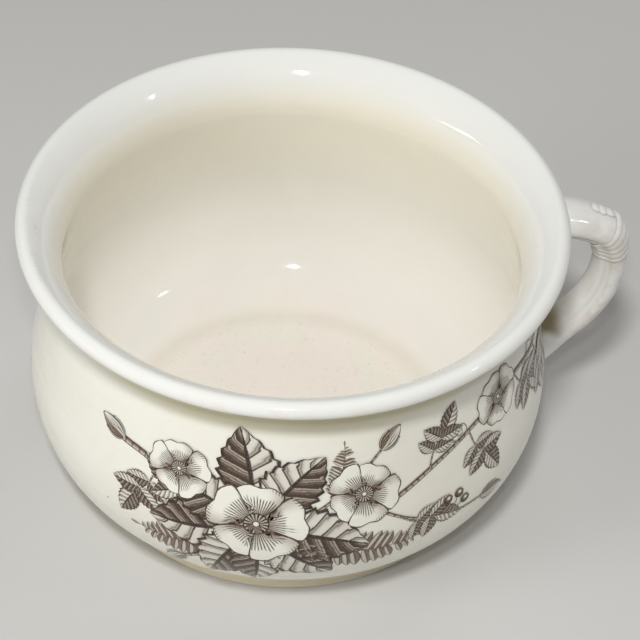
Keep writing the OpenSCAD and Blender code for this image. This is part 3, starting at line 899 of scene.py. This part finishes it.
roseSet = dict(petals=5, footAt=0.06, shorter=0.1, bend=0.05, wide=1.02, eyeSize=0.52)


def rose(d, at, radius, turn):
    s = roseSet
    for k in range(s["petals"]):
        odd = k % 2
        a = turn + 360 / s["petals"] * k
        d.put("petal", at + direction(a) * radius * s["footAt"], a, radius * (1 - s["shorter"] * odd),
              s["bend"] * (-1) ** k, s["wide"], not odd)
    d.put("eye", at, 0, radius * s["eyeSize"])


budSet = dict(sepalAngle=34, sepalSize=0.7, sepalBend=0.2, sepalWide=1.1,
              midAngle=6, midSize=0.55, midWide=1.2)


def bud(d, at, angle, length):
    s = budSet
    for side in (-1, 1):
        d.put("pinna", at, angle + side * s["sepalAngle"], length * s["sepalSize"],
              s["sepalBend"] * side, s["sepalWide"], side > 0)
    d.put("bud", at, angle, length)
    d.put("pinna", at, angle + s["midAngle"], length * s["midSize"], 0.0, s["midWide"])


fernSet = dict(stalk=(0.8, 0.4), joints=6, pinnae=27, first=2, size=0.24, swell=(0.16, 0.8), blunt=0.8,
               angle=60, bend=-0.15, tipSize=0.09)


def fern(d, at, angle, length, curl):
    s = fernSet
    points = [at]
    for k in range(s["joints"]):
        heading = angle + curl * k / (s["joints"] - 1)
        points.append(points[-1] + direction(heading) * length / s["joints"])
    path, way = d.stem(points, *s["stalk"])
    for k in range(s["first"], s["pinnae"]):
        share = k / s["pinnae"]
        i = int(share * (len(path) - 1))
        heading = math.degrees(math.atan2(way[i][1], way[i][0]))
        side = 1 if k % 2 else -1
        size = length * s["size"] * math.sin(math.pi * uneven(share, s["swell"])) ** s["blunt"]
        d.put("pinna", path[i], heading + side * s["angle"], size, s["bend"] * side, 1.0, side > 0)
    d.put("pinna", path[-1], heading, length * s["tipSize"])


tendrilSet = dict(stalk=(0.55, 0.35), perTurn=10, spare=4, reach=1.2, lead=2.6)


def tendril(d, at, angle, size, turns, hand):
    s = tendrilSet
    centre = at + direction(angle) * size * s["reach"]
    points = [at]
    for k in range(int(turns * s["perTurn"]) + 1):  # winds in towards the centre
        a = math.radians(angle + hand * 360 / s["perTurn"] * k) + hand * s["lead"]
        shrunk = size * (1 - k / (turns * s["perTurn"] + s["spare"]))
        points.append(centre + shrunk * np.array([math.cos(a), math.sin(a)]))
    d.stem(points, *s["stalk"], spray["twigStep"])


berrySet = dict(stalk=(0.6, 0.5), count=3, fan=34, reach=(1.9, 0.3), sag=(0.3, 0.2), turn=20)


def berries(d, at, angle, size):
    s = berrySet
    for k in range(s["count"]):
        heading = angle + s["fan"] * (k - (s["count"] - 1) / 2)
        tip = at + direction(heading) * size * uneven(k % 2, s["reach"])
        d.stem([at, (at + tip) / 2 + np.array(s["sag"]), tip], *s["stalk"], spray["twigStep"])
        d.put("berry", tip, s["turn"], size)


crownSet = dict(radius=8, wide=1.15)


def crown(d, at, leaves):  # single leaves round a rose
    for angle, length, bend, flip in leaves:
        spot = at + direction(angle) * crownSet["radius"]
        d.put("leaf", spot, angle, length, bend, crownSet["wide"], flip)


frontSpray = dict(
    ferns=[((-16, 4), 212, 46, -34), ((12, 2), -22, 50, 26), ((22, 26), 62, 26, 30),
           ((-30, 20), 140, 30, 36)],
    branches=[
        ([(-70, 34), (-54, 30), (-34, 16), (-8, 6), (16, 6), (42, 16), (70, 30), (98, 40), (122, 44),
          (146, 42), (164, 48)], 3.2, 1.8),
        ([(-40, -19), (-20, -4), (6, 12), (28, 29), (44, 46)], 2.2, 1.2),
        ([(42, 16), (58, 6), (76, -1), (95, -3)], 1.6, 0.9)],
    roseLeaves=[
        ((-52, 29), 262, 32, -18), ((52, 9), -48, 29, 26), ((66, 28), 84, 28, -22),
        ((122, 44), -66, 34, 24), ((136, 43), 70, 24, -30), ((88, 36), -78, 30, 18),
        ((146, 42), -50, 32, -20), ((158, 44), -88, 30, 12), ((-26, 12), 128, 34, 18)],
    crowns=[((-8, 12), [
        (196, 38, 0.12, True), (236, 36, -0.14, False), (274, 33, 0.1, True), (312, 36, -0.1, False),
        (350, 40, 0.12, True), (96, 40, -0.1, False), (58, 36, 0.14, True), (152, 34, -0.12, False)])],
    buds=[((-70, 34), 156, 14), ((44, 46), 48, 13), ((95, -3), -10, 14), ((166, 48), 50, 14),
          ((-40, -19), 226, 13)],
    tendrils=[((80, 34), 62, 5.0, 1.5, 1), ((-46, 25), 100, 4.5, 1.4, -1)],
    berries=[((76, -1), 64, 4.8), ((30, 31), -12, 5.0)],
    roses=[((-42, 32), 14, 24), ((36, 26), 16, -8), ((108, 42), 14, 40), ((-8, 13), 21, 12)],
)
backPosy = dict(  # a smaller one on the hidden side
    ferns=[((-6, -4), 204, 36, -26), ((6, -4), -22, 36, 26)],
    branches=[([(-44, 20), (-26, 10), (0, -2), (24, 8), (42, 22)], 2.2, 1.4)],
    roseLeaves=[((-26, 10), 236, 26, -14), ((24, 8), -56, 26, 14), ((-14, 4), 118, 28, 12),
                ((14, 4), 62, 28, -12)],
    buds=[((-44, 20), 146, 13), ((42, 22), 40, 13)],
    berries=[((4, -4), -84, 4.4)],
    roses=[((0, 2), 16, 30)],
)
backShift = (math.pi * potBody["bellyRadius"], 14)
drawOrder = [("ferns", fern), ("branches", Drawing.stem), ("roseLeaves", roseLeaf), ("crowns", crown),
             ("buds", bud), ("tendrils", tendril), ("berries", berries), ("roses", rose)]  # later lies on top
printKinds = [  # motif, name of its piece, and its ink
    ("stem", "print_stems", inkFinish("printed stem", drawStem)),
    ("pinna", "print_fern", inkFinish("printed fern", drawPinna)),
    ("leaf", "print_leaves", inkFinish("printed leaf", drawLeaf)),
    ("bud", "print_buds", inkFinish("printed bud", drawBud)),
    ("petal", "print_roses", inkFinish("printed petal", drawPetal)),
    ("eye", "print_rose_eyes", inkFinish("printed rose eye", drawEye)),
    ("berry", "print_berries", inkFinish("printed berry", drawBerry)),
]

motifs = {
    "leaf": bladeMotif("leaf_motif", leafShape, toothedWidth),
    "pinna": bladeMotif("pinna_motif", pinnaShape, plainWidth),
    "bud": bladeMotif("bud_motif", budShape, plainWidth),
    "petal": petalMotif(petalShape), "eye": discMotif(discShape),
}
motifs["berry"] = motifs["eye"]
drawing = Drawing(motifs)
for plan, shift in ((frontSpray, (0, 0)), (backPosy, backShift)):
    for kind, drawKind in drawOrder:
        for at, *rest in plan.get(kind, []):
            drawKind(drawing, np.array(at, float) + shift, *rest)
sprayPieces = [drawing.lay(kind, name, finish) for kind, name, finish in printKinds]
for motif in set(motifs.values()):
    bpy.data.objects.remove(motif)
print("print laid:", sum(len(o.data.polygons) for o in sprayPieces), "faces")


# Floor, lights and camera

stageSet = dict(
    floorSize=8.0, floorColour=tint(206, 205, 202), floorRough=0.7, floorGrain=40.0, floorDepth=0.0002,
    worldColour=tint(250, 250, 250), worldStrength=0.18,
    lampAim=(0, 0, 0.07), keyUp=0.24, keyLeft=0.06, keyReach=1.7, glintUp=0.075,
)
cameraSet = dict(
    lens=123.75, sensor=36.0, elevation=43.515, azimuth=-12.0, roll=3.14, distance=0.9520,
    target=(0.01279, -0.00272, 0.07640),
)


def cameraAxes(s):
    e, a, t = (math.radians(s[k]) for k in ("elevation", "azimuth", "roll"))
    back = Vector((math.sin(a) * math.cos(e), -math.cos(a) * math.cos(e), math.sin(e)))
    right = Vector((math.cos(a), math.sin(a), 0))
    up = back.cross(right)
    return right * math.cos(t) + up * math.sin(t), up * math.cos(t) - right * math.sin(t), back


right, up, back = cameraAxes(cameraSet)
aimPoint = Vector(cameraSet["target"])
eye = aimPoint + back * cameraSet["distance"]
cameraData = bpy.data.cameras.new("photo_camera")
cameraData.lens = cameraSet["lens"]
cameraData.sensor_width = cameraSet["sensor"]
camera = bpy.data.objects.new("photo_camera", cameraData)
camera.matrix_world = Matrix.Translation(eye) @ Matrix((right, up, back)).transposed().to_4x4()
scene.collection.objects.link(camera)
scene.camera = camera

deselectAll()
bpy.ops.mesh.primitive_plane_add(size=stageSet["floorSize"])
floor = bpy.context.object
floor.name = "floor"
floorLook = Finish("pale floor")
floorGrain = floorLook.noise(floorLook.here(), stageSet["floorGrain"])
floor.data.materials.append(
    floorLook.close(stageSet["floorColour"], stageSet["floorRough"], floorGrain, stageSet["floorDepth"]))

world = bpy.data.worlds.new("studio") if scene.world is None else scene.world
scene.world = world
world.use_nodes = True
ambient = world.node_tree.nodes["Background"].inputs
ambient["Color"].default_value = stageSet["worldColour"]
ambient["Strength"].default_value = stageSet["worldStrength"]

keyNear = eye + up * stageSet["keyUp"] - right * stageSet["keyLeft"]
keyAt = aimPoint + (keyNear - aimPoint) * stageSet["keyReach"]
glintAt = eye + up * stageSet["glintUp"]
lamps = [  # those that shine also show as glints in the glaze
    dict(name="key", at=tuple(keyAt), size=0.19, power=13.6, shines=False),
    dict(name="left_fill", at=(-1.25, -0.42, 0.72), size=0.6, power=5.7, shines=False),
    dict(name="right_fill", at=(1.2, -0.6, 0.7), size=0.9, power=0.6, shines=False),
    dict(name="back_fill", at=(0.8, 0.75, 1.2), size=0.8, power=3.7, shines=False),
    dict(name="glint", at=tuple(glintAt), size=0.045, power=1.2, shines=True),
    dict(name="left_strip", at=(-1.3, 0.0, 0.41), size=0.6, tall=0.05, power=0.9, shines=True),
    dict(name="right_glint", at=(1.08, -0.55, 0.98), size=0.07, power=0.6, shines=True),
]
for lamp in lamps:
    data = bpy.data.lights.new(lamp["name"], "AREA")
    data.shape = "ELLIPSE"
    data.size = lamp["size"]
    data.size_y = lamp.get("tall", lamp["size"])
    data.energy = lamp["power"]
    holder = bpy.data.objects.new(lamp["name"], data)
    aim = Vector(stageSet["lampAim"]) - Vector(lamp["at"])
    holder.matrix_world = Matrix.Translation(lamp["at"]) @ aim.to_track_quat("-Z", "Y").to_matrix().to_4x4()
    holder.visible_glossy = lamp["shines"]
    scene.collection.objects.link(holder)
scene.view_settings.view_transform = "Standard"
print("stage set")
